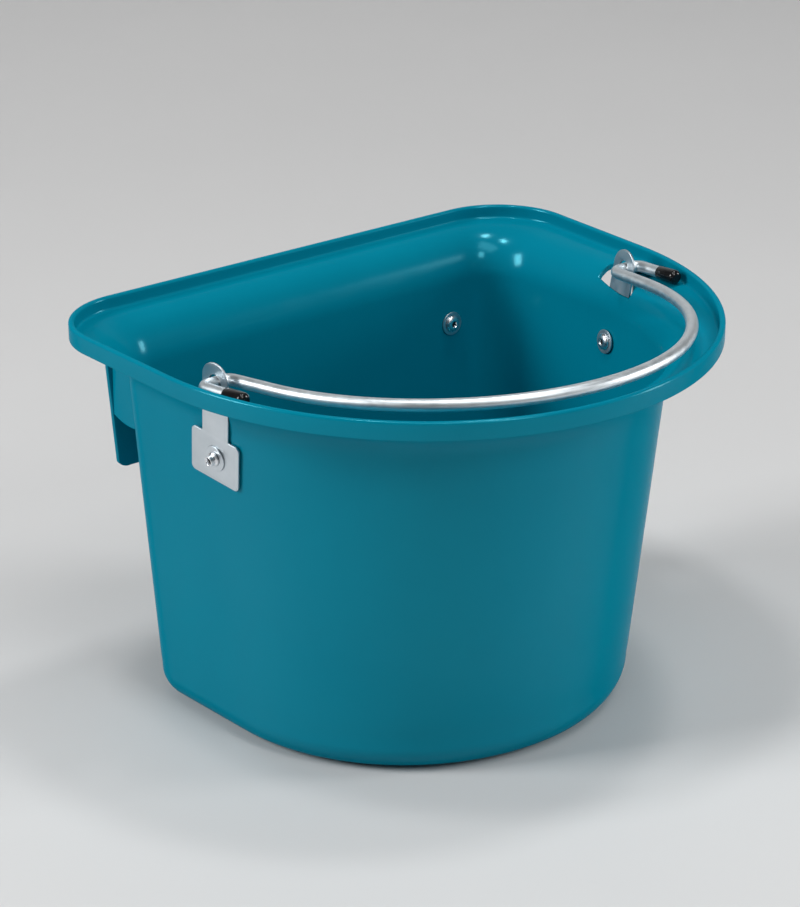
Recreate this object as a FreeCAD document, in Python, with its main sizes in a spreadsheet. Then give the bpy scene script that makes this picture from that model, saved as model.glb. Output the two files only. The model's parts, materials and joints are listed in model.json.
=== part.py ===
"""Feed bucket: a moulded flat-backed tub with a swinging wire bail and two hook-over hooks.

Units are millimetres. +X runs along the flat back, +Y points to the back, +Z is up. The origin is on
the floor plane, under the middle of the whole object. Lengths live in the sheet "Sizes".
"""
import FreeCAD, Part
import math
import os

import Sketcher
from FreeCAD import Placement, Rotation, Vector

SIZES = {
    # rim outline: two back corners and a round front made of side and front arcs
    "tub_height": 268, "rim_corner_x": 145, "rim_corner_y": 117, "rim_corner_radius": 55,
    "rim_front_y": 21.8, "rim_front_radius": 193.8, "rim_side_radius": 210.5,
    # the same outline at the top of the straight wall
    "wall_top": 225, "wall_corner_x": 132.5, "wall_corner_y": 109.7, "wall_corner_radius": 32,
    "wall_front_y": 32.2, "wall_front_radius": 164.9, "wall_side_radius": 170.2,
    # and where the wall would meet the floor
    "base_corner_x": 120, "base_corner_y": 99.2, "base_corner_radius": 32,
    "base_front_y": 43.1, "base_front_radius": 150.5, "base_side_radius": 141.2,
    "side_arc_angle": 41.2, "wall_thickness": 2.8, "floor_thickness": 3.2, "base_fillet": 20.5,
    "lip_height": 9.5, "lip_thickness": 4, "lip_rounding": 1.8, "rim_edge_rounding": 0.8,
    # pivot of the bail, through the ears of the two brackets
    "pivot_x": 169.2, "pivot_y": 14.8, "pivot_z": 261.2,
    "bracket_toe": 7.6, "bracket_tilt": 4.8, "bracket_lean": 7.35, "bracket_thickness": 1.5,
    "ear_radius": 11.4, "ear_rise": 1.2, "pivot_hole_radius": 5, "shoulder_drop": 38.9, "plate_drop": 70.5,
    "plate_width": 42, "plate_chamfer": 3.5, "bracket_rivet_drop": 54.6, "bracket_rivet_offset": 0.4,
    "slot_front": 12.4, "slot_back": 24.9, "slot_inner": 1.1, "slot_outer": 9, "slot_narrow": 1.5,
    "slot_low": 41, "slot_high": 5, "slot_rounding": 4,
    # bail: one wire that turns out through the ears and forward again, resting low in the ear holes
    "rod_radius": 4, "bail_rest_angle": 4.53, "bail_sag": 0.6, "bail_leg_x": 180.8, "bail_leg_length": 41.9,
    "bail_leg_toe": 4.5, "bail_bend_radius": 6.5, "bail_arm_x": 159.5, "bail_arm_taper": 8.8,
    "bail_corner_radius": 167.1, "bail_front_radius": 147.2, "bail_reach": 176.1,
    "cap_radius": 4.8, "cap_length": 18.4, "cap_end": 1.4, "cap_rounding": 3.4,
    # blind rivets with a washer on each side
    "rivet_radius": 3.2, "rivet_hole_radius": 3.4, "rivet_head_radius": 5.8, "rivet_head_height": 2.6,
    "rivet_bore_radius": 1.7, "rivet_dimple_radius": 2.2, "tail_flange_radius": 4.6, "tail_flange_height": 1.2,
    "tail_height": 5, "tail_recess_radius": 2.3, "tail_recess_depth": 3, "mandrel_gap": 0.9,
    "tail_cone_height": 0.7, "small_chamfer": 0.5, "mandrel_chamfer": 0.3, "mandrel_tip": 0.7,
    "washer_radius": 8.4, "washer_thickness": 1, "side_washer_gap": 1.4, "hook_washer_gap": 0.1,
    # moulded hooks on the flat back
    "hook_x": 119, "hook_rivet_z": 197, "hook_half_width": 27.2, "hook_web": 3, "hook_web_low": 176,
    "hook_web_high": 222, "gusset_thickness": 3, "gusset_low": 182.5, "gusset_middle_low": 181.8,
    "gusset_back_low": 185.2, "gusset_high": 252, "gusset_clearance": 0.6,
    "tongue_front_y": 168.2, "tongue_thickness": 3.5, "tongue_low": 145.3, "tongue_high": 254.6,
    "tongue_half_low": 24.2, "tongue_half_high": 33.4, "tongue_corner_across": 9, "tongue_corner_up": 4.5,
}

document = FreeCAD.newDocument("feed_bucket")
sheet = document.addObject("Spreadsheet::Sheet", "Sizes")
for row, (alias, value) in enumerate(SIZES.items(), start=1):
    sheet.set(f"A{row}", alias)
    sheet.set(f"B{row}", str(value))
    sheet.setAlias(f"B{row}", alias)
document.recompute()


def size(alias):
    return float(getattr(sheet, alias))


def formula(expression):
    """Turn a formula in aliases, such as 'rod_radius + 1', into one that names the sheet."""
    for alias in sorted(SIZES, key=len, reverse=True):
        expression = expression.replace(alias, f"<<{alias}>>")
    return expression.replace("<<", "Sizes.").replace(">>", "")


def number(expression):
    return float(sheet.evalExpression(formula(expression)))


def bind(target, path, expression):
    target.setExpression(path, formula(expression))


# --- sketches -------------------------------------------------------------------------------------
def new_body(label):
    body = document.addObject("PartDesign::Body", label)
    body.Label = label
    return body


def new_sketch(body, plane, name):
    sketch = body.newObject("Sketcher::SketchObject", name)
    support = next(item for item in body.Origin.OriginFeatures if item.Role == plane)
    sketch.AttachmentSupport = (support, [""])
    sketch.MapMode = "FlatFace"
    return sketch


def pin_point(sketch, edge, end, across, along):
    """Fix one end of an edge at a place given by two formulas, measured from the sketch's origin."""
    for kind, expression in (("DistanceX", across), ("DistanceY", along)):
        value = number(expression)
        if abs(value) < 1e-9:
            axis = -2 if kind == "DistanceX" else -1
            sketch.addConstraint(Sketcher.Constraint("PointOnObject", edge, end, axis))
            continue
        index = sketch.addConstraint(Sketcher.Constraint(kind, -1, 1, edge, end, value))
        bind(sketch, f"Constraints[{index}]", expression)


def polygon(sketch, corners):
    """Draw a closed outline through corners, each a pair of formulas."""
    places = [Vector(number(across), number(along), 0) for across, along in corners]
    first = sketch.GeometryCount
    count = len(places)
    for index in range(count):
        line = Part.LineSegment(places[index], places[(index + 1) % count])
        sketch.addGeometry(line, False)
    for index in range(count):
        following = first + (index + 1) % count
        sketch.addConstraint(Sketcher.Constraint("Coincident", first + index, 2, following, 1))
    for index, (across, along) in enumerate(corners):
        pin_point(sketch, first + index, 1, across, along)


def circle(sketch, across, along, radius):
    centre = Vector(number(across), number(along), 0)
    edge = sketch.addGeometry(Part.Circle(centre, Vector(0, 0, 1), number(radius)), False)
    pin_point(sketch, edge, 3, across, along)
    index = sketch.addConstraint(Sketcher.Constraint("Radius", edge, number(radius)))
    bind(sketch, f"Constraints[{index}]", radius)


def pad(body, sketch, length, symmetric=False, reverse=False):
    feature = body.newObject("PartDesign::Pad", sketch.Name + "_pad")
    feature.Profile = sketch
    bind(feature, "Length", length)
    feature.Midplane = symmetric
    feature.Reversed = reverse
    document.recompute()
    return feature


def drill(body, sketch):
    """Cut a sketch right through, both ways, and make sure that something was cut."""
    before = body.Shape.Volume
    feature = body.newObject("PartDesign::Pocket", sketch.Name + "_pocket")
    feature.Profile = sketch
    feature.Type = "ThroughAll"
    feature.Midplane = True
    document.recompute()
    if body.Shape.Volume >= before:
        raise RuntimeError(f"{feature.Name} cuts nothing")
    return feature


def revolve(body, sketch):
    """Turn a sketch that lies beside the sketch's vertical axis all the way round that axis."""
    feature = body.newObject("PartDesign::Revolution", sketch.Name + "_turned")
    feature.Profile = sketch
    feature.ReferenceAxis = (sketch, ["V_Axis"])
    feature.Angle = 360
    document.recompute()
    return feature


# --- tub ------------------------------------------------------------------------------------------
SAME_PLACE = 1e-4
FLARE_BULGE = (0.3, 0.72)  # where the flare's underside lies, as shares of its depth and height
HEAD_PROFILE = ((0.62, 0.9), (0.88, 0.6), (1, 0.2))  # a rivet's domed head, as shares of its radius and height
EDGE_PROFILE = ((0.5, 0.134), (0.134, 0.5))  # a rounded edge, as shares of its radius
OUTLINE_VALUES = ("corner_x", "corner_y", "corner_radius", "front_y", "front_radius", "side_radius")


def outline_of(level):
    return {value: size(f"{level}_{value}") for value in OUTLINE_VALUES}


def between(low, high, share):
    return {value: low[value] + (high[value] - low[value]) * share for value in OUTLINE_VALUES}


def grown(outline, distance):
    wider = dict(outline)
    for value in ("corner_radius", "front_radius", "side_radius"):
        wider[value] += distance
    return wider


def outline_wire(outline, height):
    """The tub's plan: a straight back, two corners, two straight sides and a round front."""
    joint = -math.radians(size("side_arc_angle"))
    front = Vector(0, outline["front_y"], height)
    shift = outline["side_radius"] - outline["front_radius"]
    side = front - Vector(math.cos(joint), math.sin(joint), 0) * shift
    corner = Vector(outline["corner_x"], outline["corner_y"], height)
    span = corner - side
    reach = math.hypot(span.x, span.y)
    lean = math.acos((outline["side_radius"] - outline["corner_radius"]) / reach)
    tangent = math.atan2(span.y, span.x) - lean

    def on(centre, radius, angle):
        return centre + Vector(math.cos(angle), math.sin(angle), 0) * radius

    def mirrored(point):
        return Vector(-point.x, point.y, point.z)

    right = [
        on(corner, outline["corner_radius"], math.pi / 2),
        on(corner, outline["corner_radius"], (math.pi / 2 + tangent) / 2),
        on(corner, outline["corner_radius"], tangent),
        on(side, outline["side_radius"], tangent),
        on(side, outline["side_radius"], (tangent + joint) / 2),
        on(side, outline["side_radius"], joint),
    ]
    left = [mirrored(point) for point in right]
    nose = on(front, outline["front_radius"], -math.pi / 2)
    edges = [
        Part.LineSegment(left[0], right[0]),
        Part.Arc(right[0], right[1], right[2]),
        Part.LineSegment(right[2], right[3]),
        Part.Arc(right[3], right[4], right[5]),
        Part.Arc(right[5], nose, left[5]),
        Part.Arc(left[5], left[4], left[3]),
        Part.LineSegment(left[3], left[2]),
        Part.Arc(left[2], left[1], left[0]),
    ]
    return Part.Wire([edge.toShape() for edge in edges])


def block(outline, low, high):
    return Part.Face(outline_wire(outline, low)).extrude(Vector(0, 0, high - low))


def wall_block(low, high, low_height, high_height, rounding):
    """A drafted block between two outlines, with its bottom edge rounded."""
    solid = Part.makeLoft([outline_wire(low, low_height), outline_wire(high, high_height)], True, True)
    bottom = [edge for edge in solid.Edges if abs(edge.BoundBox.ZMax - low_height) < SAME_PLACE]
    return solid.makeFillet(rounding, bottom)


def flare_block(low, high, low_height, rise, steps=6):
    """A block whose side swells from low to high along a quarter of an ellipse."""
    sections = []
    for step in range(steps + 1):
        angle = math.pi / 2 * step / steps
        section = between(low, high, 1 - math.cos(angle))
        sections.append(outline_wire(section, low_height + rise * math.sin(angle)))
    return Part.makeLoft(sections, True, True)


def tub_shape():
    rim, wall, base = (outline_of(level) for level in ("rim", "wall", "base"))
    lip_inner = grown(rim, -size("lip_thickness"))
    skin = size("wall_thickness")
    wall_top = size("wall_top")
    shelf = size("tub_height") - size("lip_height")
    inner_wall = grown(wall, -skin)
    inner_floor = grown(between(base, wall, size("floor_thickness") / wall_top), -skin)

    outside = wall_block(base, wall, 0, wall_top, size("base_fillet"))
    outside = outside.fuse(flare_block(wall, lip_inner, wall_top, shelf - skin - wall_top))
    outside = outside.fuse(block(rim, shelf - skin, size("tub_height")))
    inside = wall_block(inner_floor, inner_wall, size("floor_thickness"), wall_top, size("base_fillet") - skin)
    inside = inside.fuse(flare_block(inner_wall, lip_inner, wall_top, shelf - wall_top))
    inside = inside.fuse(block(lip_inner, shelf, size("tub_height") + 1))
    return outside.cut(inside)


def edges_at(shape, height, outline):
    """The numbers of the edges that run round an outline at a height."""
    wire = outline_wire(outline, height)
    found = []
    for index, edge in enumerate(shape.Edges, start=1):
        box = edge.BoundBox
        level = abs(box.ZMin - height) < SAME_PLACE and abs(box.ZMax - height) < SAME_PLACE
        if level and wire.distToShape(edge)[0] < SAME_PLACE:
            found.append(index)
    return found


def side_placement(side):
    """Where a bracket's own frame sits: its X is the way out, its Y the way back, its Z up the plate."""
    toe = Rotation(Vector(0, 0, 1), -side * size("bracket_toe"))
    tilt = Rotation(Vector(0, 1, 0), side * size("bracket_tilt"))
    lean = Rotation(Vector(1, 0, 0), size("bracket_lean"))
    pivot = Vector(side * size("pivot_x"), size("pivot_y"), size("pivot_z"))
    return Placement(pivot, toe * tilt * lean)


def back_wall_angle():
    back = [size(f"{level}_corner_y") + size(f"{level}_corner_radius") for level in ("base", "wall")]
    return math.degrees(math.atan2(back[1] - back[0], size("wall_top")))


def back_wall_y(height):
    back = [size(f"{level}_corner_y") + size(f"{level}_corner_radius") for level in ("base", "wall")]
    return back[0] + (back[1] - back[0]) * height / size("wall_top")


SIDES = {"left": -1, "right": 1}


def rivet_placements():
    """Each rivet's frame: Z is the way out through the wall, and the origin is on the wall's outside."""
    places = {}
    for name, side in SIDES.items():
        frame = side_placement(side)
        on_plate = Vector(-side * size("bracket_thickness") / 2, -size("bracket_rivet_offset"),
                          -size("bracket_rivet_drop"))
        outward = Rotation(Vector(0, 1, 0), 90 * side)
        places[f"side_{name}"] = Placement(frame.multVec(on_plate), frame.Rotation * outward)
        centre = Vector(side * size("hook_x"), back_wall_y(size("hook_rivet_z")), size("hook_rivet_z"))
        places[f"hook_{name}"] = Placement(centre, Rotation(Vector(1, 0, 0), -90 - back_wall_angle()))
    return places


def stack_thickness(name):
    """How much of the rivet's grip lies outside the wall: a bracket's plate or a hook's web."""
    return "bracket_thickness" if name.startswith("side") else "hook_web"


def build_slot(name, side):
    """The cutter for the slot an ear comes up through: narrow in front, with rounded corners behind."""
    body = new_body(f"slot_{name}")
    outline = new_sketch(body, "XY_Plane", f"slot_{name}_outline")
    out, inward = ("", "-") if side > 0 else ("-", "")
    corners = [
        (f"{inward}slot_inner", "-slot_front"), (f"{out}slot_narrow", "-slot_front"),
        (f"{out}slot_outer", "0"), (f"{out}slot_outer", "slot_back"), (f"{inward}slot_inner", "slot_back"),
    ]
    polygon(outline, corners)
    prism = pad(body, outline, "slot_low - slot_high")
    body.Placement = side_placement(side) * Placement(Vector(0, 0, -size("slot_low")), Rotation())
    document.recompute()
    height = size("slot_low") - size("slot_high")
    soft = [f"Edge{index}" for index, edge in enumerate(prism.Shape.Edges, start=1)
            if abs(edge.Length - height) < SAME_PLACE and edge.CenterOfMass.y > size("slot_back") / 2]
    fillet = body.newObject("PartDesign::Fillet", f"slot_{name}_rounding")
    fillet.Base = (prism, soft)
    bind(fillet, "Radius", "slot_rounding")
    document.recompute()
    return body


def build_tub():
    blank = document.addObject("Part::Feature", "tub_blank")
    blank.Shape = tub_shape()
    cutters = []
    for name, place in rivet_placements().items():
        hole = document.addObject("Part::Cylinder", f"hole_{name}")
        bind(hole, "Radius", "rivet_hole_radius")
        bind(hole, "Height", "wall_thickness * 4")
        hole.Placement = place * Placement(Vector(0, 0, -2 * size("wall_thickness")), Rotation())
        cutters.append(hole)
    for name, side in SIDES.items():
        cutters.append(build_slot(name, side))
    document.recompute()
    tools = document.addObject("Part::MultiFuse", "tub_cutters")
    tools.Shapes = cutters
    cut = document.addObject("Part::Cut", "tub_cut")
    cut.Base = blank
    cut.Tool = tools
    document.recompute()
    rim = outline_of("rim")
    lip_inner = grown(rim, -size("lip_thickness"))
    top = size("tub_height")
    low = top - size("lip_height") - size("wall_thickness")
    soft = edges_at(cut.Shape, top, rim) + edges_at(cut.Shape, top, lip_inner)
    tub = document.addObject("Part::Fillet", "tub")
    tub.Base = cut
    tub.Edges = ([(edge, size("lip_rounding"), size("lip_rounding")) for edge in soft]
                 + [(edge, size("rim_edge_rounding"), size("rim_edge_rounding"))
                    for edge in edges_at(cut.Shape, low, rim)])
    tub.Label = "tub"
    document.recompute()
    return tub


# --- brackets -------------------------------------------------------------------------------------
def build_bracket(name, side):
    body = new_body(f"bracket_{name}")
    plate = new_sketch(body, "YZ_Plane", f"bracket_{name}_plate")
    half, chamfer = "plate_width / 2", "plate_chamfer"
    corners = [
        ("-ear_radius", "ear_rise"), ("-ear_radius", "-shoulder_drop"), (f"-{half}", "-shoulder_drop"),
        (f"-{half}", f"-plate_drop + {chamfer}"), (f"-{half} + {chamfer}", "-plate_drop"),
        (f"{half} - {chamfer}", "-plate_drop"), (half, f"-plate_drop + {chamfer}"),
        (half, "-shoulder_drop"), ("ear_radius", "-shoulder_drop"), ("ear_radius", "ear_rise"),
    ]
    polygon(plate, corners)
    pad(body, plate, "bracket_thickness", symmetric=True)
    ear = new_sketch(body, "YZ_Plane", f"bracket_{name}_ear")
    circle(ear, "0", "ear_rise", "ear_radius")
    pad(body, ear, "bracket_thickness", symmetric=True)
    holes = new_sketch(body, "YZ_Plane", f"bracket_{name}_holes")
    circle(holes, "0", "0", "pivot_hole_radius")
    circle(holes, "-bracket_rivet_offset", "-bracket_rivet_drop", "rivet_hole_radius")
    drill(body, holes)
    body.Placement = side_placement(side)
    return body


# --- bail -----------------------------------------------------------------------------------------
def bail_centreline():
    """Half of the bail's centreline in its own plane, from the middle of the front to a leg's end."""
    taper, toe = math.radians(size("bail_arm_taper")), math.radians(size("bail_leg_toe"))
    bend = size("bail_bend_radius")
    corner_radius, front_radius = size("bail_corner_radius"), size("bail_front_radius")

    # the corner arc touches the arm, and its centre is where the front arc also meets it tangentially
    inward = Vector(-math.cos(taper), math.sin(taper), 0)
    forward = Vector(-math.sin(taper), -math.cos(taper), 0)
    base = Vector(size("bail_arm_x"), 0, 0) + inward * corner_radius
    front = Vector(0, front_radius - size("bail_reach"), 0)
    offset = base - front
    gap = corner_radius - front_radius
    along = offset.dot(forward)
    corner = base - forward * (along + math.sqrt(along * along - offset.dot(offset) + gap * gap))
    to_arm = inward * -1
    to_front = (front - corner).normalize()

    # the bend from the arm to the stretch through the ear, and the one from there to the leg
    arm_bend = Vector(size("bail_arm_x") + bend * (1 - math.sin(taper)) / math.cos(taper), -bend, 0)
    leg_bend = Vector(size("bail_leg_x") - bend * (1 + math.sin(toe)) / math.cos(toe), -bend, 0)
    back = Vector(0, 1, 0)
    leg_side = Vector(math.cos(toe), -math.sin(toe), 0)
    leg_forward = Vector(-math.sin(toe), -math.cos(toe), 0)
    return {
        "nose": Vector(0, -size("bail_reach"), 0), "joint": corner + to_front * corner_radius,
        "corner_middle": corner + (to_arm + to_front).normalize() * corner_radius,
        "arm_end": corner + to_arm * corner_radius, "arm_start": arm_bend + inward * bend,
        "bend_middle": arm_bend + (inward + back).normalize() * bend, "bend_end": arm_bend + back * bend,
        "leg_bend_start": leg_bend + back * bend,
        "leg_bend_middle": leg_bend + (back + leg_side).normalize() * bend,
        "leg_bend_end": leg_bend + leg_side * bend,
        "leg_end": Vector(size("bail_leg_x"), 0, 0) + leg_forward * size("bail_leg_length"),
    }


def bail_placement():
    """The wire lies in the bottom of the ear holes and rises a little towards the front."""
    pivot = Vector(0, size("pivot_y"), size("pivot_z") - size("bail_sag"))
    return Placement(pivot, Rotation(Vector(1, 0, 0), -size("bail_rest_angle")))


def build_bail():
    body = new_body("bail")
    right = bail_centreline()
    left = {name: Vector(-point.x, point.y, 0) for name, point in right.items()}
    path = new_sketch(body, "XY_Plane", "bail_path")

    def half(points):
        return [
            Part.LineSegment(points["leg_end"], points["leg_bend_end"]),
            Part.Arc(points["leg_bend_end"], points["leg_bend_middle"], points["leg_bend_start"]),
            Part.LineSegment(points["leg_bend_start"], points["bend_end"]),
            Part.Arc(points["bend_end"], points["bend_middle"], points["arm_start"]),
            Part.LineSegment(points["arm_start"], points["arm_end"]),
            Part.Arc(points["arm_end"], points["corner_middle"], points["joint"]),
        ]

    front = Part.Arc(left["joint"], left["nose"], right["joint"])
    path.addGeometry(half(left) + [front] + half(right)[::-1], False)
    profile = new_sketch(body, "XZ_Plane", "bail_profile")
    turned = Rotation(Vector(0, 1, 0), size("bail_leg_toe"))
    profile.AttachmentOffset = Placement(Vector(left["leg_end"].x, 0, -left["leg_end"].y), turned)
    circle(profile, "0", "0", "rod_radius")
    pipe = body.newObject("PartDesign::AdditivePipe", "bail_rod")
    pipe.Profile = profile
    pipe.Spine = path
    document.recompute()
    body.Placement = bail_placement()
    return body


def build_cap(name, side):
    """A dipped vinyl cap: a closed sleeve with a rounded end, turned about the leg's axis."""
    body = new_body(f"cap_{name}")
    section = new_sketch(body, "XY_Plane", f"cap_{name}_section")
    corners = [("0", "0"), ("cap_radius - cap_rounding", "0")]
    corners += [(f"cap_radius - cap_rounding * {across}", f"cap_rounding * {along}")
                for across, along in EDGE_PROFILE]
    corners += [
        ("cap_radius", "cap_rounding"), ("cap_radius", "cap_length - small_chamfer"),
        ("cap_radius - small_chamfer", "cap_length"), ("rod_radius", "cap_length"),
        ("rod_radius", "cap_end"), ("0", "cap_end"),
    ]
    polygon(section, corners)
    revolve(body, section)
    toe = math.radians(size("bail_leg_toe"))
    reach = size("bail_leg_length") + size("cap_end")
    tip = Vector(side * (size("bail_leg_x") - reach * math.sin(toe)), -reach * math.cos(toe), 0)
    along_leg = Rotation(Vector(0, 0, 1), -side * size("bail_leg_toe"))
    body.Placement = bail_placement() * Placement(tip, along_leg)
    return body


# --- rivets and washers ---------------------------------------------------------------------------
def build_fastener(name, place):
    """A blind rivet set from inside: its head is inside the tub and its tail outside."""
    grip = stack_thickness(name)
    gap = "side_washer_gap" if name.startswith("side") else "hook_washer_gap"
    inner_face = f"-(wall_thickness + {gap})"
    head_foot = f"{inner_face} - washer_thickness"
    outer_face = f"{grip} + washer_thickness"

    rivet = new_body(f"rivet_{name}")
    section = new_sketch(rivet, "XZ_Plane", f"rivet_{name}_section")
    head_top = f"{head_foot} - rivet_head_height"
    flange_top = f"{outer_face} + tail_flange_height"
    tail_end = f"{outer_face} + tail_height"
    corners = [("rivet_bore_radius", f"{head_top} + small_chamfer"), ("rivet_dimple_radius", head_top)]
    corners += [(f"rivet_head_radius * {across}", f"{head_foot} - rivet_head_height * {along}")
                for across, along in HEAD_PROFILE]
    corners += [
        ("rivet_head_radius", head_foot), ("rivet_radius", head_foot), ("rivet_radius", outer_face),
        ("tail_flange_radius", outer_face), ("tail_flange_radius", flange_top),
        ("rivet_radius", f"{flange_top} + tail_cone_height"), ("rivet_radius", f"{tail_end} - small_chamfer"),
        ("rivet_radius - small_chamfer", tail_end), ("tail_recess_radius", tail_end),
        ("rivet_bore_radius", f"{tail_end} - tail_recess_depth"),
    ]
    polygon(section, corners)
    revolve(rivet, section)
    rivet.Placement = place

    mandrel = new_body(f"mandrel_{name}")
    stem = new_sketch(mandrel, "XZ_Plane", f"mandrel_{name}_section")
    stem_end = f"{tail_end} - tail_recess_depth"
    corners = [
        ("0", f"{head_top} + mandrel_gap"),
        ("rivet_bore_radius", f"{head_top} + mandrel_gap + mandrel_chamfer"), ("rivet_bore_radius", stem_end),
        ("rivet_bore_radius - small_chamfer", f"{stem_end} + small_chamfer"),
        ("0", f"{stem_end} + mandrel_tip"),
    ]
    polygon(stem, corners)
    revolve(mandrel, stem)
    mandrel.Placement = place

    washers = []
    for where, foot in (("inner", head_foot), ("outer", grip)):
        washer = new_body(f"washer_{where}_{name}")
        ring = new_sketch(washer, "XY_Plane", f"washer_{where}_{name}_ring")
        circle(ring, "0", "0", "washer_radius")
        circle(ring, "0", "0", "rivet_hole_radius")
        pad(washer, ring, "washer_thickness")
        washer.Placement = place * Placement(Vector(0, 0, number(foot)), Rotation())
        washers.append(washer)
    return [rivet, mandrel] + washers


# --- hooks ----------------------------------------------------------------------------------------
def flat_face(points):
    return Part.Face(Part.makePolygon(points + points[:1]))


def hook_web():
    """The flat strip that lies against the wall and follows its draft."""
    half = size("hook_half_width")
    low, high = (Vector(-half, back_wall_y(size(f"hook_web_{end}")), size(f"hook_web_{end}"))
                 for end in ("low", "high"))
    depth = Vector(0, size("hook_web") / math.cos(math.radians(back_wall_angle())), 0)
    return flat_face([low, high, high + depth, low + depth]).extrude(Vector(2 * half, 0, 0))


def gusset(x):
    """A gusset from x towards +x: its top curves under the flare and its lower edge is a shallow arc."""
    tongue_y = size("tongue_front_y")
    low, web_high, high = size("gusset_low"), size("hook_web_high"), size("gusset_high")
    wall_foot = Vector(x, back_wall_y(low), low)
    wall_top = Vector(x, back_wall_y(web_high) + size("gusset_clearance"), web_high)
    tongue_top = Vector(x, tongue_y, high)
    span = tongue_top - wall_top
    under_flare = wall_top + Vector(0, span.y * FLARE_BULGE[0], span.z * FLARE_BULGE[1])
    tongue_foot = Vector(x, tongue_y, size("gusset_back_low"))
    middle = Vector(x, (wall_foot.y + tongue_y) / 2, size("gusset_middle_low"))
    edges = [Part.LineSegment(wall_foot, wall_top), Part.Arc(wall_top, under_flare, tongue_top),
             Part.LineSegment(tongue_top, tongue_foot), Part.Arc(tongue_foot, middle, wall_foot)]
    side = Part.Face(Part.Wire([edge.toShape() for edge in edges]))
    return side.extrude(Vector(size("gusset_thickness"), 0, 0))


def hook_tongue():
    """The hanging plate behind the gussets, wider at the top, with two rounded lower corners."""
    y, low, high = size("tongue_front_y"), size("tongue_low"), size("tongue_high")
    narrow, wide = size("tongue_half_low"), size("tongue_half_high")
    across, up = size("tongue_corner_across"), size("tongue_corner_up")
    side_end = Vector(narrow + (wide - narrow) * up / (high - low), y, low + up)
    corner = Vector(narrow - across * (1 - math.sqrt(0.5)), y, low + up * (1 - math.sqrt(0.5)))
    bottom_end = Vector(narrow - across, y, low)

    def mirrored(point):
        return Vector(-point.x, point.y, point.z)

    edges = [
        Part.LineSegment(Vector(wide, y, high), side_end), Part.Arc(side_end, corner, bottom_end),
        Part.LineSegment(bottom_end, mirrored(bottom_end)),
        Part.Arc(mirrored(bottom_end), mirrored(corner), mirrored(side_end)),
        Part.LineSegment(mirrored(side_end), Vector(-wide, y, high)),
        Part.LineSegment(Vector(-wide, y, high), Vector(wide, y, high)),
    ]
    plate = Part.Face(Part.Wire([edge.toShape() for edge in edges]))
    return plate.extrude(Vector(0, size("tongue_thickness"), 0))


def build_hook(name, side):
    """A moulded hook: a web against the flat back, two gussets and a tongue that hangs behind them."""
    half = size("hook_half_width")
    hook = hook_web().fuse([gusset(-half), gusset(half - size("gusset_thickness")), hook_tongue()])
    hook = hook.removeSplitter()
    hook.translate(Vector(side * size("hook_x"), 0, 0))
    hole = Part.makeCylinder(size("rivet_hole_radius"), 2 * size("hook_web"))
    below = Placement(Vector(0, 0, -size("hook_web") / 2), Rotation())
    hole.Placement = rivet_placements()[f"hook_{name}"] * below
    feature = document.addObject("Part::Feature", f"hook_{name}")
    feature.Shape = hook.cut(hole)
    feature.Label = f"hook_{name}"
    return feature


# --- assembly -------------------------------------------------------------------------------------
nodes = [build_tub(), build_bail()]
for side_name, side_sign in SIDES.items():
    nodes.append(build_cap(side_name, side_sign))
    nodes.append(build_bracket(side_name, side_sign))
    nodes.append(build_hook(side_name, side_sign))
for rivet_name, rivet_place in rivet_placements().items():
    nodes += build_fastener(rivet_name, rivet_place)

document.recompute()
for item in document.Objects:
    if "Invalid" in item.State or "Error" in item.State:
        raise RuntimeError(f"{item.Name} failed: {item.State}")
os.makedirs("parts", exist_ok=True)
for node in nodes:
    if node.Shape.isNull() or not node.Shape.isValid() or len(node.Shape.Solids) != 1:
        raise RuntimeError(f"{node.Label} has no valid single solid")
    node.Shape.exportStep(f"parts/{node.Label}.step")
    box = node.Shape.BoundBox
    print(f"{node.Label}: {node.Shape.Volume:.0f} mm3, x {box.XMin:.1f}..{box.XMax:.1f}, "
          f"y {box.YMin:.1f}..{box.YMax:.1f}, z {box.ZMin:.1f}..{box.ZMax:.1f}")
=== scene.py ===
"""Feed bucket: how it looks. Outlines are worked out in millimetres, and meshes are made in metres."""

import json
import math

import bmesh
import bpy
from mathutils import Matrix, Vector


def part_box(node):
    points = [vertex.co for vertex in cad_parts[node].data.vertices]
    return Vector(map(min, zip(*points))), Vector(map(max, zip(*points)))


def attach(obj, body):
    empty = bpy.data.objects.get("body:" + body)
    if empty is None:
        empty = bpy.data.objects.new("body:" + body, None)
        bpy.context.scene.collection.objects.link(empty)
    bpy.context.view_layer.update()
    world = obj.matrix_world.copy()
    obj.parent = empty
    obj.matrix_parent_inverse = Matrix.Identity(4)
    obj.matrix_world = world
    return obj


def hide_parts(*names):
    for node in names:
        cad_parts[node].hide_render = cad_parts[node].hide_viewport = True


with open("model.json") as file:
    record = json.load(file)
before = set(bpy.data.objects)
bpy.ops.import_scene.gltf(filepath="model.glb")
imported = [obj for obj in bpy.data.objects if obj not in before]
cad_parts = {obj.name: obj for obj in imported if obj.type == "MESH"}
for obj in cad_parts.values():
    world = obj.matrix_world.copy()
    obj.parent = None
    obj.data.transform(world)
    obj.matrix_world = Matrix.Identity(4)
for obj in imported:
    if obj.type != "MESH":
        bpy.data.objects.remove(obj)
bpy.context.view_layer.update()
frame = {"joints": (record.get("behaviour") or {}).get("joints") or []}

MM = 0.001
QUARTER = math.pi / 2
SIDES = {"left": -1, "right": 1}

# --- places that the frame gives, in millimetres ----------------------------------------------------
HINGE = Vector(frame["joints"][0]["pos_m"]) / MM
TUB_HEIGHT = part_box("tub")[1].z / MM
HOOK_X = sum(corner.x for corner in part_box("hook_right")) / 2 / MM

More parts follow.
